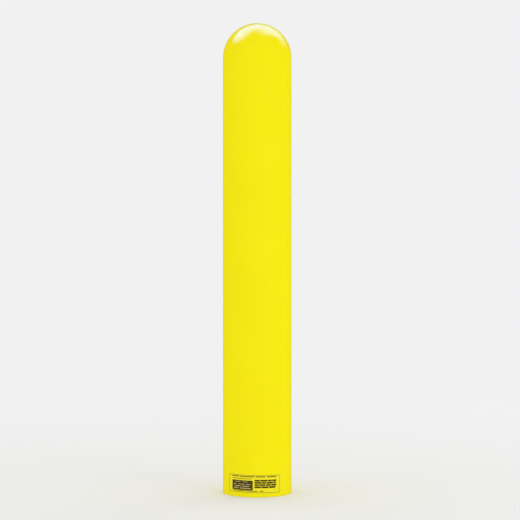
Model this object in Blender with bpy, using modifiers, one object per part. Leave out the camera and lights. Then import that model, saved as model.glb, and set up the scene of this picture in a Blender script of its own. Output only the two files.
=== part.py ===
"""Bollard cover: a one-piece moulded plastic sleeve with a domed top, open at its foot, and the
adhesive label on its front.

Metres, +Z up. The origin is the centre of the foot, on the ground. The label faces -Y.
Run with: blender --background --python part.py
"""

import math

import bmesh
import bpy
from mathutils import Matrix

# The moulded sleeve
COVER_HEIGHT = 1.3208  # 52 in, from the ground to the top of the dome
COVER_DIAMETER = 0.1930  # 7.6 in outside, for a 6 in pipe bollard of 168.3 mm
WALL = 0.00635  # 1/4 in, the same in the tube and the dome
FOOT_OUTER_ROUND = 0.0016  # deburred outer edge of the foot
FOOT_INNER_ROUND = 0.0008  # deburred inner edge of the foot

# The label, measured flat before it is stuck on
LABEL_WIDTH = 0.1651  # 6.5 in
LABEL_HEIGHT = 0.0508  # 2 in
LABEL_CORNER = 0.003
LABEL_THICKNESS = 0.0004
LABEL_LIFT = 0.0115  # from the foot to the middle of the label's lower edge
LABEL_TURN = math.radians(-5.4)  # from the front, towards -X when negative
LABEL_TILT = math.radians(-0.6)  # its +X end hangs low, as stuck on by hand
LABEL_GAP = 0.0003  # clearance that keeps the two solids apart

# Colours (linear) and gloss
COVER_YELLOW = (0.92, 0.85, 0.005)
COVER_ROUGHNESS = 0.25
LABEL_YELLOW = (0.90, 0.79, 0.035)
LABEL_ROUGHNESS = 0.35

# How finely the round shapes are divided
FACETS = 96
DOME_STEPS = 20
ROUND_STEPS = 3
CORNER_STEPS = 4
MERGE_DISTANCE = 0.00002

COVER_RADIUS = COVER_DIAMETER / 2
BORE_RADIUS = COVER_RADIUS - WALL
DOME_CENTRE_HEIGHT = COVER_HEIGHT - COVER_RADIUS
FACET_ANGLE = 2 * math.pi / FACETS
RIGHT_ANGLE = math.pi / 2
FRONT = -RIGHT_ANGLE  # the direction of -Y round the axis


def clear_scene():
    for obj in list(bpy.data.objects):
        bpy.data.objects.remove(obj)


def new_collection(name):
    collection = bpy.data.collections.new(name)
    bpy.context.scene.collection.children.link(collection)
    return collection


def plastic(name, colour, roughness):
    material = bpy.data.materials.new(name)
    material.use_nodes = True
    shader = material.node_tree.nodes["Principled BSDF"]
    shader.inputs["Base Color"].default_value = (*colour, 1.0)
    shader.inputs["Roughness"].default_value = roughness
    shader.inputs["Metallic"].default_value = 0.0
    material.diffuse_color = (*colour, 1.0)
    return material


def arc(centre, radius, start, end, steps):
    """Points (distance from the axis, height) along an arc, both ends included."""
    points = []
    for k in range(steps + 1):
        angle = start + (end - start) * k / steps
        points.append((centre[0] + radius * math.cos(angle), centre[1] + radius * math.sin(angle)))
    return points


def sleeve_profile():
    """The wall's section, from the top of the dome down the outside and back up the inside."""
    widest_round = WALL / 3  # leaves a flat foot between the two
    outer_round = min(FOOT_OUTER_ROUND, widest_round)
    inner_round = min(FOOT_INNER_ROUND, widest_round)
    dome_centre = (0.0, DOME_CENTRE_HEIGHT)
    outer_edge_centre = (COVER_RADIUS - outer_round, outer_round)
    inner_edge_centre = (BORE_RADIUS + inner_round, inner_round)
    outer_dome = arc(dome_centre, COVER_RADIUS, RIGHT_ANGLE, 0.0, DOME_STEPS)
    outer_edge = arc(outer_edge_centre, outer_round, 0.0, -RIGHT_ANGLE, ROUND_STEPS)
    inner_edge = arc(inner_edge_centre, inner_round, -RIGHT_ANGLE, -math.pi, ROUND_STEPS)
    inner_dome = arc(dome_centre, BORE_RADIUS, 0.0, RIGHT_ANGLE, DOME_STEPS)
    return outer_dome + outer_edge + inner_edge + inner_dome


def moulded_sleeve(collection, material):
    """The cover itself: the wall's section turned once round the Z axis."""
    profile = [(distance, 0.0, height) for distance, height in sleeve_profile()]
    edges = [(k, k + 1) for k in range(len(profile) - 1)]
    mesh = bpy.data.meshes.new("cover_sleeve")
    mesh.from_pydata(profile, edges, [])
    mesh.materials.append(material)
    sleeve = bpy.data.objects.new("cover_sleeve", mesh)
    collection.objects.link(sleeve)
    turn = sleeve.modifiers.new("turn", "SCREW")
    turn.axis = "Z"
    turn.angle = 2 * math.pi
    turn.steps = FACETS
    turn.render_steps = FACETS
    turn.use_merge_vertices = True
    turn.merge_threshold = MERGE_DISTANCE
    turn.use_smooth_shade = True
    sleeve.modifiers.new("shading", "WEIGHTED_NORMAL")


def facet_radius(angle, corner_radius):
    """Distance from the axis to a flat facet whose two corners lie at corner_radius."""
    from_middle = (angle % FACET_ANGLE) - FACET_ANGLE / 2
    return corner_radius * math.cos(FACET_ANGLE / 2) / math.cos(from_middle)


def flat_label(sheet):
    """The label cut flat in sheet: X along its width, Y up, its middle at the origin, tilted."""
    bmesh.ops.create_grid(sheet, x_segments=1, y_segments=1, size=0.5)
    bmesh.ops.scale(sheet, verts=sheet.verts, vec=(LABEL_WIDTH, LABEL_HEIGHT, 1.0))
    bmesh.ops.bevel(
        sheet,
        geom=list(sheet.verts),
        offset=LABEL_CORNER,
        segments=CORNER_STEPS,
        profile=0.5,
        affect="VERTICES",
    )
    bmesh.ops.rotate(sheet, verts=sheet.verts, matrix=Matrix.Rotation(LABEL_TILT, 3, "Z"))


def crease_at_facets(sheet, radius):
    """Cuts the flat sheet where it will bend over the sleeve's facet corners."""
    middle = FRONT + LABEL_TURN
    reach = LABEL_WIDTH / radius  # past both ends of the label
    first = math.ceil((middle - reach) / FACET_ANGLE)
    last = math.floor((middle + reach) / FACET_ANGLE)
    for k in range(first, last + 1):
        crease = (k * FACET_ANGLE - middle) * radius
        bmesh.ops.bisect_plane(
            sheet,
            geom=list(sheet.verts) + list(sheet.edges) + list(sheet.faces),
            plane_co=(crease, 0.0, 0.0),
            plane_no=(1.0, 0.0, 0.0),
        )


def wrap_round_sleeve(sheet, radius):
    """Lays the creased sheet on the sleeve's facets, at its height above the foot."""
    middle_height = LABEL_LIFT + LABEL_HEIGHT / 2
    for vertex in sheet.verts:
        angle = FRONT + LABEL_TURN + vertex.co.x / radius
        distance = facet_radius(angle, radius)
        height = middle_height + vertex.co.y
        vertex.co = (distance * math.cos(angle), distance * math.sin(angle), height)
    sheet.normal_update()


def adhesive_label(collection, material):
    """The vinyl label, stuck round the front of the sleeve just above its foot."""
    sheet = bmesh.new()
    flat_label(sheet)
    crease_at_facets(sheet, COVER_RADIUS + LABEL_GAP)
    wrap_round_sleeve(sheet, COVER_RADIUS + LABEL_GAP)
    mesh = bpy.data.meshes.new("label")
    sheet.to_mesh(mesh)
    sheet.free()
    mesh.materials.append(material)
    mesh.shade_smooth()
    label = bpy.data.objects.new("label", mesh)
    collection.objects.link(label)
    body = label.modifiers.new("thickness", "SOLIDIFY")
    body.thickness = LABEL_THICKNESS
    body.offset = 1.0
    body.use_even_offset = True
    label.modifiers.new("shading", "WEIGHTED_NORMAL")


def main():
    clear_scene()
    collection = new_collection("bollard_cover")
    moulded_sleeve(collection, plastic("yellow_plastic", COVER_YELLOW, COVER_ROUGHNESS))
    adhesive_label(collection, plastic("label_vinyl", LABEL_YELLOW, LABEL_ROUGHNESS))


main()
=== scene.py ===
"""Finish and studio for the bollard cover: a moulded yellow sleeve with a domed top and a label.

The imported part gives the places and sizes. The sleeve and its label are modelled again round it,
finely, and get their plastic and their print. Metres, +Z up; the label faces -Y, to the camera.
"""

import math

import bmesh
import bpy
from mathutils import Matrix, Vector


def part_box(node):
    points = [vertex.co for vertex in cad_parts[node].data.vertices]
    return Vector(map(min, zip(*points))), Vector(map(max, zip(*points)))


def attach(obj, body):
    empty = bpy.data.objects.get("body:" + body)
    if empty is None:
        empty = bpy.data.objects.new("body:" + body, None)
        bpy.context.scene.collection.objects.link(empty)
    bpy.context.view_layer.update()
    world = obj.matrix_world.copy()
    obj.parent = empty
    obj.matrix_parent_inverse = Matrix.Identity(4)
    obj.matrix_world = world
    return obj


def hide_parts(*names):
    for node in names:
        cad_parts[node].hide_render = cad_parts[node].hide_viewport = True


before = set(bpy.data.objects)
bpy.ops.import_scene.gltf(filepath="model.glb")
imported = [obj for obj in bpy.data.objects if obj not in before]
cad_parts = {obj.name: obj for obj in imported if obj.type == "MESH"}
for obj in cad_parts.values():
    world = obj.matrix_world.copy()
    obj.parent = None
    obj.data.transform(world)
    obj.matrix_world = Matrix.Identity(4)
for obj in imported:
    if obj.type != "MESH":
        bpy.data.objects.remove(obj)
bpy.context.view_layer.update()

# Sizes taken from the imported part
SLEEVE_LOW, SLEEVE_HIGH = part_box("cover_sleeve")
LABEL_LOW, LABEL_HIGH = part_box("label")
RADIUS = (SLEEVE_HIGH.x - SLEEVE_LOW.x) / 2
HEIGHT = SLEEVE_HIGH.z
DOME_CENTRE_HEIGHT = HEIGHT - RADIUS
LABEL_HEIGHT_ABOVE_FOOT = (LABEL_LOW.z + LABEL_HIGH.z) / 2

# The sleeve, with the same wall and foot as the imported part's
WALL = 0.00635
FOOT_OUTER_ROUND = 0.0016
FOOT_INNER_ROUND = 0.0008
FOOT_ROUND_STEPS = 4
ROUND_SEGMENTS = 192
DOME_RINGS = 44
TUBE_RINGS = 60
WAVE_DEPTH = 0.0004  # how far the moulding wanders inwards from a true tube
WAVE_LENGTH = 0.22
SLEEVE_SMOOTH_ANGLE = math.radians(40)
PLACE_TOLERANCE = 0.0001

# The label, measured flat, then turned towards -X and hung a little low on its +X side
LABEL_WIDTH = 0.1651
LABEL_HEIGHT = 0.0508
LABEL_CORNER = 0.003
LABEL_CORNER_STEPS = 6
LABEL_TURN = math.radians(-5.4)
LABEL_TILT = math.radians(-0.6)
LABEL_SLICES = 66  # so that it bends smoothly
LABEL_LIFT_OFF_SLEEVE = 0.00012
LABEL_THICKNESS = 0.00012
LABEL_SMOOTH_ANGLE = math.radians(30)

# The camera, where the photograph was taken from
CAMERA_PLACE = (0.0079, -4.45, 0.69)
CAMERA_PITCH = math.radians(-0.45)
CAMERA_LENS = 109.3
SENSOR_WIDTH = 36.0


def only(piece):
    """Makes one object the selected and active one."""
    bpy.ops.object.select_all(action="DESELECT")
    piece.select_set(True)
    bpy.context.view_layer.objects.active = piece


def added(name):
    """Names the object that was just added, and puts its place into its mesh."""
    piece = bpy.context.object
    piece.name = name
    piece.data.name = name
    only(piece)
    bpy.ops.object.transform_apply(location=True, rotation=True, scale=True)
    return piece


def pick_vertices(piece, wanted):
    """In edit mode, selects the vertices whose place passes, and the edges and faces they hold."""
    bpy.ops.mesh.select_mode(type="VERT")
    bpy.ops.mesh.select_all(action="DESELECT")
    shape = bmesh.from_edit_mesh(piece.data)
    for vertex in shape.verts:
        if wanted(vertex.co):
            vertex.select_set(True)
    shape.select_flush(True)
    bmesh.update_edit_mesh(piece.data)


def apply_modifiers(piece):
    only(piece)
    for modifier in list(piece.modifiers):
        bpy.ops.object.modifier_apply(modifier=modifier.name)


def from_axis(point):
    return math.hypot(point.x, point.y)


def round_foot_edge(sleeve, edge_radius, width):
    """Rounds the foot's edge that lies at edge_radius from the axis."""

    def on_edge(point):
        at_foot = abs(point.z) < PLACE_TOLERANCE
        return at_foot and abs(from_axis(point) - edge_radius) < WALL / 3

    pick_vertices(sleeve, on_edge)
    bpy.ops.mesh.select_mode(type="EDGE")
    bpy.ops.mesh.bevel(offset=width, segments=FOOT_ROUND_STEPS, profile=0.5, affect="EDGES")


def make_sleeve():
    """Half a ball drawn down to the foot, let wander a little, then given its wall and foot."""
    bpy.ops.object.select_all(action="DESELECT")
    bpy.ops.mesh.primitive_uv_sphere_add(
        segments=ROUND_SEGMENTS,
        ring_count=2 * DOME_RINGS,
        radius=RADIUS,
        location=(0, 0, DOME_CENTRE_HEIGHT),
    )
    sleeve = added("moulded_sleeve")
    bpy.ops.object.mode_set(mode="EDIT")
    pick_vertices(sleeve, lambda point: point.z < DOME_CENTRE_HEIGHT - PLACE_TOLERANCE)
    bpy.ops.mesh.delete(type="VERT")
    pick_vertices(sleeve, lambda point: point.z < DOME_CENTRE_HEIGHT + PLACE_TOLERANCE)
    bpy.ops.mesh.select_mode(type="EDGE")
    ring_step = DOME_CENTRE_HEIGHT / TUBE_RINGS
    for ring in range(TUBE_RINGS):
        bpy.ops.mesh.extrude_region_move(TRANSFORM_OT_translate={"value": (0, 0, -ring_step)})
    bpy.ops.mesh.select_all(action="SELECT")
    bpy.ops.mesh.normals_make_consistent(inside=False)
    bpy.ops.object.mode_set(mode="OBJECT")

    wave = bpy.data.textures.new("slow_wave", "CLOUDS")
    wave.noise_scale = WAVE_LENGTH
    wander = sleeve.modifiers.new("wander", "DISPLACE")
    wander.texture = wave
    wander.texture_coords = "LOCAL"
    wander.strength = WAVE_DEPTH
    wander.mid_level = 1.0
    wall = sleeve.modifiers.new("wall", "SOLIDIFY")
    wall.thickness = WALL
    wall.offset = -1.0
    wall.use_even_offset = True
    apply_modifiers(sleeve)

    bpy.ops.object.mode_set(mode="EDIT")
    pick_vertices(sleeve, lambda point: point.z < PLACE_TOLERANCE)
    bpy.ops.transform.resize(value=(1, 1, 0), center_override=(0, 0, 0))
    round_foot_edge(sleeve, RADIUS, FOOT_OUTER_ROUND)
    round_foot_edge(sleeve, RADIUS - WALL, FOOT_INNER_ROUND)
    bpy.ops.object.mode_set(mode="OBJECT")
    bpy.ops.object.shade_smooth_by_angle(angle=SLEEVE_SMOOTH_ANGLE)
    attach(sleeve, "root")
    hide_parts("cover_sleeve")
    return sleeve


def make_label():
    """A flat sticker with rounded corners, sliced, turned a little and bent round the sleeve."""
    bpy.ops.object.select_all(action="DESELECT")
    bpy.ops.mesh.primitive_plane_add(size=1, location=(0, 0, 0), rotation=(math.pi / 2, 0, 0))
    bpy.context.object.scale = (LABEL_WIDTH, LABEL_HEIGHT, 1)
    label = added("vinyl_label")
    bpy.ops.object.mode_set(mode="EDIT")
    bpy.ops.mesh.select_all(action="SELECT")
    bpy.ops.mesh.bevel(
        offset=LABEL_CORNER, segments=LABEL_CORNER_STEPS, profile=0.5, affect="VERTICES"
    )
    for slice_number in range(1, LABEL_SLICES):
        across = LABEL_WIDTH * (slice_number / LABEL_SLICES - 0.5)
        bpy.ops.mesh.select_all(action="SELECT")
        bpy.ops.mesh.bisect(plane_co=(across, 0, 0), plane_no=(1, 0, 0))
    bpy.ops.object.mode_set(mode="OBJECT")
    lay_out_print(label)

    label.rotation_euler = (0, -LABEL_TILT, 0)
    bpy.ops.object.transform_apply(rotation=True)
    bent_radius = RADIUS + LABEL_LIFT_OFF_SLEEVE
    bend = label.modifiers.new("bend", "SIMPLE_DEFORM")
    bend.deform_method = "BEND"
    bend.deform_axis = "Z"
    bend.angle = label.dimensions.x / bent_radius
    apply_modifiers(label)

    label.location = (0, -bent_radius, LABEL_HEIGHT_ABOVE_FOOT)
    bpy.ops.object.transform_apply(location=True)
    label.rotation_euler = (0, 0, LABEL_TURN)
    bpy.ops.object.transform_apply(rotation=True)
    body = label.modifiers.new("body", "SOLIDIFY")
    body.thickness = LABEL_THICKNESS
    body.offset = 1.0
    apply_modifiers(label)
    bpy.ops.object.shade_smooth_by_angle(angle=LABEL_SMOOTH_ANGLE)
    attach(label, "root")
    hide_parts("label")
    return label


def lay_out_print(label):
    """Gives the flat label a UV map that runs from 0 to 1 along its width and its height."""
    layout = label.data.uv_layers.active or label.data.uv_layers.new(name="print")
    for loop in label.data.loops:
        place = label.data.vertices[loop.vertex_index].co
        layout.data[loop.index].uv = (place.x / LABEL_WIDTH + 0.5, place.z / LABEL_HEIGHT + 0.5)


class Shading:
    """A material's node tree, with short calls for the nodes that this scene uses."""

    def __init__(self, name):
        self.material = bpy.data.materials.new(name)
        self.material.use_nodes = True
        self.nodes = self.material.node_tree.nodes
        self.links = self.material.node_tree.links
        self.surface = self.nodes["Principled BSDF"]

    def join(self, source, target):
        self.links.new(source, target)

    def feed(self, socket, value):
        """Puts a number, a vector or another node's output on a socket."""
        if isinstance(value, bpy.types.NodeSocket):
            self.join(value, socket)
        else:
            socket.default_value = value

    def place(self, kind):
        return self.nodes.new("ShaderNodeTexCoord").outputs[kind]

    def math(self, operation, first, second=0.0):
        node = self.nodes.new("ShaderNodeMath")
        node.operation = operation
        self.feed(node.inputs[0], first)
        self.feed(node.inputs[1], second)
        return node.outputs[0]

    def vector(self, operation, first, second=(0, 0, 0)):
        node = self.nodes.new("ShaderNodeVectorMath")
        node.operation = operation
        self.feed(node.inputs[0], first)
        self.feed(node.inputs[1], second)
        return node.outputs["Value" if operation == "LENGTH" else "Vector"]

    def split(self, vector):
        node = self.nodes.new("ShaderNodeSeparateXYZ")
        self.join(vector, node.inputs[0])
        return node.outputs

    def noise(self, place, scale, detail=2.0, roughness=0.5):
        node = self.nodes.new("ShaderNodeTexNoise")
        self.join(place, node.inputs["Vector"])
        node.inputs["Scale"].default_value = scale
        node.inputs["Detail"].default_value = detail
        node.inputs["Roughness"].default_value = roughness
        return node.outputs[0]

    def spread(self, value, span, onto=(0.0, 1.0)):
        """Maps one span of a value onto another, and holds still past its ends."""
        node = self.nodes.new("ShaderNodeMapRange")
        self.join(value, node.inputs["Value"])
        node.inputs["From Min"].default_value = span[0]
        node.inputs["From Max"].default_value = span[1]
        node.inputs["To Min"].default_value = onto[0]
        node.inputs["To Max"].default_value = onto[1]
        return node.outputs[0]

    def blend(self, share, first, second):
        node = self.nodes.new("ShaderNodeMix")
        node.data_type = "RGBA"
        self.feed(node.inputs["Factor"], share)
        self.feed(node.inputs["A"], first)
        self.feed(node.inputs["B"], second)
        return node.outputs["Result"]

    def bump(self, height, depth):
        """Lets the surface rise by that depth, in metres, where the height is 1."""
        node = self.nodes.new("ShaderNodeBump")
        self.join(height, node.inputs["Height"])
        node.inputs["Distance"].default_value = depth
        self.join(node.outputs["Normal"], self.surface.inputs["Normal"])


def rgba(colour):
    return (*colour, 1.0)


def grey(level):
    return (level, level, level, 1.0)


# Colours, linear
SLEEVE_YELLOW = (0.955, 0.853, 0.0014)
SLEEVE_YELLOW_DEEP = (0.945, 0.829, 0.0014)
FOOT_DUST = (0.66, 0.55, 0.16)
# The dent's two colours are painted light on its upper part and painted shade on its lower part
DENT_PAINTED_LIGHT = (0.985, 0.892, 0.010)
DENT_PAINTED_SHADE = (0.890, 0.772, 0.001)
# The scuff's two colours are a painted glint on its upper part and painted shade on its lower part
SCUFF_PAINTED_GLINT = (1.0, 0.98, 0.36)
SCUFF_PAINTED_SHADE = (0.90, 0.84, 0.03)
LABEL_YELLOW = (0.905, 0.800, 0.008)
PRINT_BLACK = (0.036, 0.021, 0.007)
PRINT_CREAM = (0.62, 0.52, 0.22)

# The noise patterns of the sleeve and the label, the coarsest first, each with the span of its
# values that counts
TONE_PATTERN = {"scale": 5.0, "detail": 3.0}
TONE_SPAN = (0.35, 0.65)
GLOSS_PATTERN = {"scale": 22.0, "detail": 6.0, "roughness": 0.6}
GLOSS_SPAN = (0.35, 0.70)
DUST_PATTERN = {"scale": 60.0, "detail": 5.0}
DUST_SPAN = (0.42, 0.70)
VINYL_GLOSS_PATTERN = {"scale": 90.0, "detail": 3.0}
VINYL_GRAIN_PATTERN = {"scale": 300.0, "detail": 2.0}
KNOCK_PATTERN = {"scale": 400.0, "detail": 2.0}
PEEL_PATTERN = {"scale": 420.0, "detail": 2.0}
INK_PATTERN = {"scale": 500.0, "detail": 3.0}
VINYL_SPAN = (0.3, 0.7)

# Gloss, dust, relief and ink
SLEEVE_ROUGHNESS = (0.11, 0.17)
SLEEVE_SPECULAR = 0.4
VINYL_ROUGHNESS = (0.26, 0.34)
VINYL_SPECULAR = 0.35
DUST_HEIGHT = 0.10  # how far up from the ground it reaches
DUST_SHARE = 0.06
PEEL_DEPTH = 0.00004  # as of orange peel
VINYL_GRAIN_DEPTH = 0.00002
INK_COVER = (0.95, 1.0)  # the ink is worn by no more than that

# Small knocks on the sleeve, each with its angle from the front, its height, how far it reaches
# across and up, its depth, and the painted light on its upper part and painted shade on its lower part
KNOCKS_WITH_PAINTED_LIGHT = (
    {
        "angle": math.radians(16.1),
        "height": 0.7165,
        "across": 0.0064,
        "up": 0.0062,
        "depth": 0.00035,
        "painted_light": DENT_PAINTED_LIGHT,
        "painted_shade": DENT_PAINTED_SHADE,
    },
    {
        "angle": math.radians(72.5),
        "height": 0.8390,
        "across": 0.0098,
        "up": 0.0050,
        "depth": 0.00005,
        "painted_light": SCUFF_PAINTED_GLINT,
        "painted_shade": SCUFF_PAINTED_SHADE,
    },
)
KNOCK_RAGGEDNESS = 0.0016
KNOCK_EDGE = (0.45, 1.0)  # where it fades out, as a share of its reach
KNOCK_TURN = (-0.15, 0.25)  # where its painted shade below turns into its painted light above, likewise


def knocked_with_painted_light(shading, place, colour, relief, angle, height, across, up, depth, painted_light, painted_shade):
    """The colour and the relief with one small ragged knock, on the sleeve's outer face only: a dent,
    with painted light on its upper part and painted shade on its lower part.
    """
    centre = (RADIUS * math.sin(angle), -RADIUS * math.cos(angle), height)
    ragged = shading.noise(place, **KNOCK_PATTERN)
    offset = shading.spread(ragged, (0.0, 1.0), (-KNOCK_RAGGEDNESS, KNOCK_RAGGEDNESS))
    off = shading.vector("ADD", shading.vector("SUBTRACT", place, centre), offset)
    scaled = shading.vector("DIVIDE", off, (across, across, up))
    reached = shading.spread(shading.vector("LENGTH", scaled), KNOCK_EDGE, (1.0, 0.0))
    axis_distance = shading.vector("LENGTH", shading.vector("MULTIPLY", place, (1, 1, 0)))
    outer_face = shading.math("GREATER_THAN", axis_distance, RADIUS - WALL / 2)
    inside = shading.math("MULTIPLY", reached, outer_face)
    # Painted shade on the knock's lower part, painted light on its upper part
    rise = shading.split(scaled)["Z"]
    painted_light_share = shading.spread(rise, KNOCK_TURN)
    light_and_shade_paint = shading.blend(painted_light_share, rgba(painted_shade), rgba(painted_light))
    marked = shading.blend(inside, colour, light_and_shade_paint)
    sunk = shading.math("SUBTRACT", relief, shading.math("MULTIPLY", inside, depth))
    return marked, sunk


def sleeve_plastic():
    """Bright yellow moulded plastic: even, glossy, with a faint peel, and a little dust at its foot."""
    shading = Shading("yellow_plastic")
    place = shading.place("Object")
    surface = shading.surface

    tone = shading.spread(shading.noise(place, **TONE_PATTERN), TONE_SPAN)
    colour = shading.blend(tone, rgba(SLEEVE_YELLOW_DEEP), rgba(SLEEVE_YELLOW))

    height = shading.split(place)["Z"]
    near_foot = shading.spread(height, (0.0, DUST_HEIGHT), (1.0, 0.0))
    patchy = shading.spread(shading.noise(place, **DUST_PATTERN), DUST_SPAN)
    dusty = shading.math("MULTIPLY", shading.math("MULTIPLY", near_foot, patchy), DUST_SHARE)
    colour = shading.blend(dusty, colour, rgba(FOOT_DUST))

    relief = shading.math("MULTIPLY", shading.noise(place, **PEEL_PATTERN), PEEL_DEPTH)
    # Each knock dents the relief and paints light and shade into the colour
    for knock in KNOCKS_WITH_PAINTED_LIGHT:
        colour, relief = knocked_with_painted_light(shading, place, colour, relief, **knock)
    shading.join(colour, surface.inputs["Base Color"])
    shading.bump(relief, 1.0)

    gloss = shading.spread(shading.noise(place, **GLOSS_PATTERN), GLOSS_SPAN, SLEEVE_ROUGHNESS)
    shading.join(gloss, surface.inputs["Roughness"])
    surface.inputs["Specular IOR Level"].default_value = SLEEVE_SPECULAR
    return shading.material


def keyline(shading, place, size, corner, line):
    """1 on the thin line of a rounded rectangle of that half size, 0 elsewhere."""
    reach = (size[0] - corner, size[1] - corner, 0)
    past = shading.vector("SUBTRACT", shading.vector("ABSOLUTE", place), reach)
    outside = shading.vector("MAXIMUM", past, (0, 0, 0))
    away = shading.math("SUBTRACT", shading.vector("LENGTH", outside), corner)
    x, y, _ = shading.split(past)
    inside = shading.math("MINIMUM", shading.math("MAXIMUM", x, y), 0.0)
    depth = shading.math("ABSOLUTE", shading.math("ADD", away, inside))
    return shading.math("LESS_THAN", depth, line / 2)


def printed_bar(shading, place, low, high):
    """1 inside the rectangle from low to high, 0 elsewhere."""
    middle = ((low[0] + high[0]) / 2, (low[1] + high[1]) / 2, 0)
    half = ((high[0] - low[0]) / 2, (high[1] - low[1]) / 2, 1)
    off = shading.vector("ABSOLUTE", shading.vector("SUBTRACT", place, middle))
    x, y, _ = shading.split(shading.vector("SUBTRACT", off, half))
    return shading.math("LESS_THAN", shading.math("MAXIMUM", x, y), 0.0)


# The print, in metres from its own middle, which lies a little off the label's. Each row has its
# height, how tall it is, and the stretches that it covers
PRINT_SHIFT = -0.0016
KEYLINE_INSET = (0.0040, 0.0018)
KEYLINE_WIDTH = 0.0009
KEYLINE_CORNER = 0.0022
BLACK_ROWS = (
    (0.0190, 0.0024, ((-0.0670, -0.0420), (-0.0400, 0.0020), (0.0060, 0.0330), (0.0380, 0.0670))),
    (0.0132, 0.0014, ((-0.0653, -0.0050),)),
    (-0.0176, 0.0268, ((-0.0653, -0.0015),)),
    (0.0072, 0.0047, ((0.0035, 0.0180), (0.0194, 0.0395), (0.0409, 0.0520), (0.0534, 0.0668))),
    (0.0012, 0.0047, ((0.0035, 0.0230), (0.0244, 0.0360), (0.0374, 0.0560), (0.0574, 0.0650))),
    (-0.0048, 0.0047, ((0.0035, 0.0150), (0.0164, 0.0340), (0.0354, 0.0500), (0.0514, 0.0668))),
    (-0.0110, 0.0049, ((0.0035, 0.0210), (0.0224, 0.0430), (0.0444, 0.0640))),
    (-0.0206, 0.0020, ((-0.0610, -0.0470), (-0.0450, -0.0230), (-0.0210, 0.0110), (0.0180, 0.0280))),
)
# Dashes left pale in the block
PALE_ROWS = (
    (0.0046, 0.0012, ((-0.0560, -0.0380), (-0.0300, -0.0160))),
    (-0.0022, 0.0014, ((-0.0610, -0.0500), (-0.0440, -0.0250), (-0.0200, -0.0080))),
    (-0.0080, 0.0020, ((-0.0570, -0.0360), (-0.0320, -0.0120))),
    (-0.0136, 0.0020, ((-0.0600, -0.0440), (-0.0390, -0.0070))),
)


def printed_rows(shading, place, rows):
    """1 inside any bar of these rows, 0 elsewhere."""
    inside = 0.0
    for low, tall, stretches in rows:
        for left, right in stretches:
            bar = printed_bar(shading, place, (left, low), (right, low + tall))
            inside = shading.math("MAXIMUM", inside, bar)
    return inside


def label_vinyl():
    """Yellow vinyl printed in black with plain shapes, laid out along the label's own UV map."""
    shading = Shading("label_vinyl")
    surface = shading.surface
    middle = (0.5 + PRINT_SHIFT / LABEL_WIDTH, 0.5, 0)
    across = shading.vector("SUBTRACT", shading.place("UV"), middle)
    place = shading.vector("MULTIPLY", across, (LABEL_WIDTH, LABEL_HEIGHT, 0))

    half = (LABEL_WIDTH / 2 - KEYLINE_INSET[0], LABEL_HEIGHT / 2 - KEYLINE_INSET[1])
    ink = keyline(shading, place, half, KEYLINE_CORNER, KEYLINE_WIDTH)
    ink = shading.math("MAXIMUM", ink, printed_rows(shading, place, BLACK_ROWS))
    dashes = printed_rows(shading, place, PALE_ROWS)
    object_place = shading.place("Object")
    cover = shading.spread(shading.noise(object_place, **INK_PATTERN), VINYL_SPAN, INK_COVER)
    ink = shading.math("MULTIPLY", ink, cover)
    colour = shading.blend(ink, rgba(LABEL_YELLOW), rgba(PRINT_BLACK))
    colour = shading.blend(dashes, colour, rgba(PRINT_CREAM))
    shading.join(colour, surface.inputs["Base Color"])
    uneven = shading.noise(object_place, **VINYL_GLOSS_PATTERN)
    gloss = shading.spread(uneven, VINYL_SPAN, VINYL_ROUGHNESS)
    shading.join(gloss, surface.inputs["Roughness"])
    surface.inputs["Specular IOR Level"].default_value = VINYL_SPECULAR
    shading.bump(shading.noise(object_place, **VINYL_GRAIN_PATTERN), VINYL_GRAIN_DEPTH)
    return shading.material


# The studio
FLOOR_RADIUS = 5.0
FLOOR_SIDES = 96
FLOOR_FADE = (0.5, 3.2)  # distances between which it gives way to the backdrop
FLOOR_GREY = 0.87  # as the camera sees it
FLOOR_BOUNCE = 0.97  # as it lights the cover from below
BACKDROP_GREY = 0.88
AMBIENT = 0.89  # what the surroundings light the cover with
AMBIENT_GLOSS = (0.60, 0.48, 0.05)  # what its gloss shows of them
SOFTBOX_SIZE = 2.4
SOFTBOXES = (
    # name, place, watts, tint
    ("key", (3.1, -3.1, 1.4), 21.5, (1.0, 1.0, 1.0)),
    ("fill", (-3.9, -1.9, 1.4), 8.3, (1.0, 0.80, 0.60)),
    ("back_right", (2.8, 3.2, 2.0), 16.0, (1.0, 1.0, 1.0)),
    ("back_left", (-2.8, 3.2, 2.0), 10.0, (1.0, 1.0, 1.0)),
)
CANOPY_RISE = 3.0
CANOPY_TINT = (0.16, 0.34, 1.0)  # bluish, so that its reflection on the yellow is cream
CANOPY_ROWS = 4
# The canopy from its left to its right, for each metre that it hangs over the dome's centre: how
# far across, its four rows (near edge, where it glows in full from and to, far edge), the glow
CANOPY_COLUMNS = (
    (-1.65, 0.06, 0.18, 0.45, 0.90, 0.0),
    (-1.30, -0.20, 0.08, 0.45, 1.00, 4.5),
    (-1.05, -0.32, 0.08, 0.50, 1.05, 7.1),
    (-0.70, -0.38, 0.02, 0.48, 1.10, 9.8),
    (-0.45, -0.35, 0.04, 0.42, 1.20, 8.0),
    (-0.20, -0.10, 0.20, 0.42, 1.30, 7.2),
    (0.00, -0.20, 0.34, 0.52, 1.45, 6.8),
    (0.15, -0.30, 0.06, 0.48, 1.50, 5.9),
    (0.32, -0.30, 0.00, 0.42, 1.55, 7.0),
    (0.60, -0.18, 0.18, 0.45, 1.60, 6.3),
    (0.88, 0.08, 0.46, 0.70, 1.75, 4.8),
    (1.15, 0.18, 0.68, 1.00, 1.80, 3.1),
    (1.60, 0.18, 0.78, 1.00, 1.80, 2.6),
    (2.20, 0.35, 0.88, 1.10, 1.90, 0.0),
)


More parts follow.
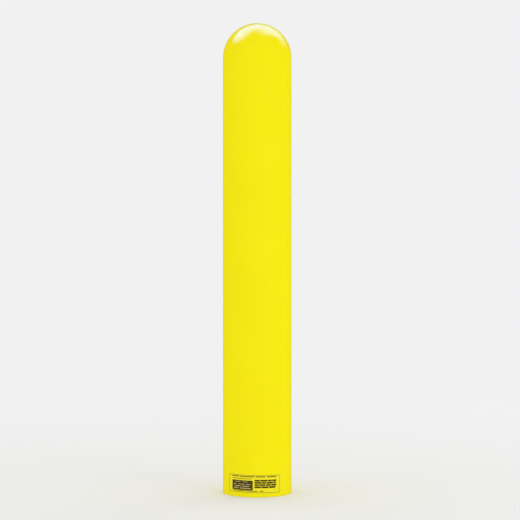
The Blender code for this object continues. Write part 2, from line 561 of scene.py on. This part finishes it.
def make_floor():
    """A pale round floor that fades into the backdrop's colour far from the cover."""
    bpy.ops.object.select_all(action="DESELECT")
    bpy.ops.mesh.primitive_circle_add(
        vertices=FLOOR_SIDES, radius=FLOOR_RADIUS, fill_type="NGON"
    )
    floor = added("floor")
    shading = Shading("floor_paint")
    surface = shading.surface
    seen = shading.nodes.new("ShaderNodeLightPath").outputs["Is Camera Ray"]
    paint = shading.blend(seen, grey(FLOOR_BOUNCE), grey(FLOOR_GREY))
    shading.join(paint, surface.inputs["Base Color"])
    surface.inputs["Roughness"].default_value = 1.0
    surface.inputs["Specular IOR Level"].default_value = 0.0
    away = shading.vector("LENGTH", shading.place("Object"))
    clear = shading.spread(away, FLOOR_FADE)
    through = shading.nodes.new("ShaderNodeBsdfTransparent")
    mix = shading.nodes.new("ShaderNodeMixShader")
    shading.join(clear, mix.inputs["Fac"])
    shading.join(surface.outputs[0], mix.inputs[1])
    shading.join(through.outputs[0], mix.inputs[2])
    shading.join(mix.outputs[0], shading.nodes["Material Output"].inputs["Surface"])
    floor.data.materials.append(shading.material)
    floor.visible_glossy = False


def make_canopy():
    """The softbox over and behind the cover, with feathered edges, which only its gloss shows."""
    bpy.ops.object.select_all(action="DESELECT")
    last_column = len(CANOPY_COLUMNS) - 1
    last_row = CANOPY_ROWS - 1
    bpy.ops.mesh.primitive_grid_add(x_subdivisions=last_column, y_subdivisions=last_row, size=1)
    canopy = added("canopy")
    glow = canopy.data.attributes.new("glow", "FLOAT", "POINT")
    for vertex in canopy.data.vertices:
        column = round((vertex.co.x + 0.5) * last_column)
        row = round((vertex.co.y + 0.5) * last_row)
        across, *rows, strength = CANOPY_COLUMNS[column]
        glow.data[vertex.index].value = strength if 0 < row < last_row else 0.0
        place = Vector((across, rows[row], 1.0)) * CANOPY_RISE
        vertex.co = place + Vector((0, 0, DOME_CENTRE_HEIGHT))
    shading = Shading("canopy_glow")
    light = shading.nodes.new("ShaderNodeEmission")
    light.inputs["Color"].default_value = rgba(CANOPY_TINT)
    strength = shading.nodes.new("ShaderNodeAttribute")
    strength.attribute_name = "glow"
    shading.join(strength.outputs["Fac"], light.inputs["Strength"])
    clear = shading.nodes.new("ShaderNodeBsdfTransparent")
    both = shading.nodes.new("ShaderNodeAddShader")
    shading.join(light.outputs[0], both.inputs[0])
    shading.join(clear.outputs[0], both.inputs[1])
    shading.join(both.outputs[0], shading.nodes["Material Output"].inputs["Surface"])
    canopy.data.materials.append(shading.material)
    canopy.visible_camera = False
    canopy.visible_diffuse = False
    canopy.visible_shadow = False


def make_softboxes():
    target = Vector((0, 0, HEIGHT / 2))
    for name, place, watts, tint in SOFTBOXES:
        lamp = bpy.data.lights.new(name, "AREA")
        lamp.shape = "SQUARE"
        lamp.size = SOFTBOX_SIZE
        lamp.energy = watts
        lamp.color = tint
        softbox = bpy.data.objects.new(name, lamp)
        softbox.location = place
        softbox.rotation_euler = (target - Vector(place)).to_track_quat("-Z", "Y").to_euler()
        softbox.visible_glossy = False
        bpy.context.scene.collection.objects.link(softbox)


def make_backdrop():
    """A pale backdrop for the camera, soft light all round, and dim surroundings for the gloss."""
    world = bpy.data.worlds.new("studio")
    bpy.context.scene.world = world
    world.use_nodes = True
    nodes = world.node_tree.nodes
    links = world.node_tree.links
    seen = nodes["Background"]
    seen.inputs["Color"].default_value = grey(BACKDROP_GREY)
    ambient = nodes.new("ShaderNodeBackground")
    ambient.inputs["Strength"].default_value = AMBIENT
    ambient.inputs["Color"].default_value = grey(1.0)
    dim = nodes.new("ShaderNodeBackground")
    dim.inputs["Color"].default_value = rgba(AMBIENT_GLOSS)
    path = nodes.new("ShaderNodeLightPath")
    for_gloss = nodes.new("ShaderNodeMixShader")
    links.new(path.outputs["Is Glossy Ray"], for_gloss.inputs["Fac"])
    links.new(ambient.outputs[0], for_gloss.inputs[1])
    links.new(dim.outputs[0], for_gloss.inputs[2])
    for_camera = nodes.new("ShaderNodeMixShader")
    links.new(path.outputs["Is Camera Ray"], for_camera.inputs["Fac"])
    links.new(for_gloss.outputs[0], for_camera.inputs[1])
    links.new(seen.outputs[0], for_camera.inputs[2])
    links.new(for_camera.outputs[0], nodes["World Output"].inputs["Surface"])


def make_camera():
    lens = bpy.data.cameras.new("camera")
    lens.lens = CAMERA_LENS
    lens.sensor_width = SENSOR_WIDTH
    camera = bpy.data.objects.new("camera", lens)
    camera.location = CAMERA_PLACE
    camera.rotation_euler = (math.pi / 2 + CAMERA_PITCH, 0, 0)
    bpy.context.scene.collection.objects.link(camera)
    bpy.context.scene.camera = camera


sleeve = make_sleeve()
sleeve.data.materials.clear()
sleeve.data.materials.append(sleeve_plastic())
label = make_label()
label.data.materials.clear()
label.data.materials.append(label_vinyl())
make_floor()
make_canopy()
make_softboxes()
make_backdrop()
make_camera()
bpy.context.scene.view_settings.view_transform = "Standard"
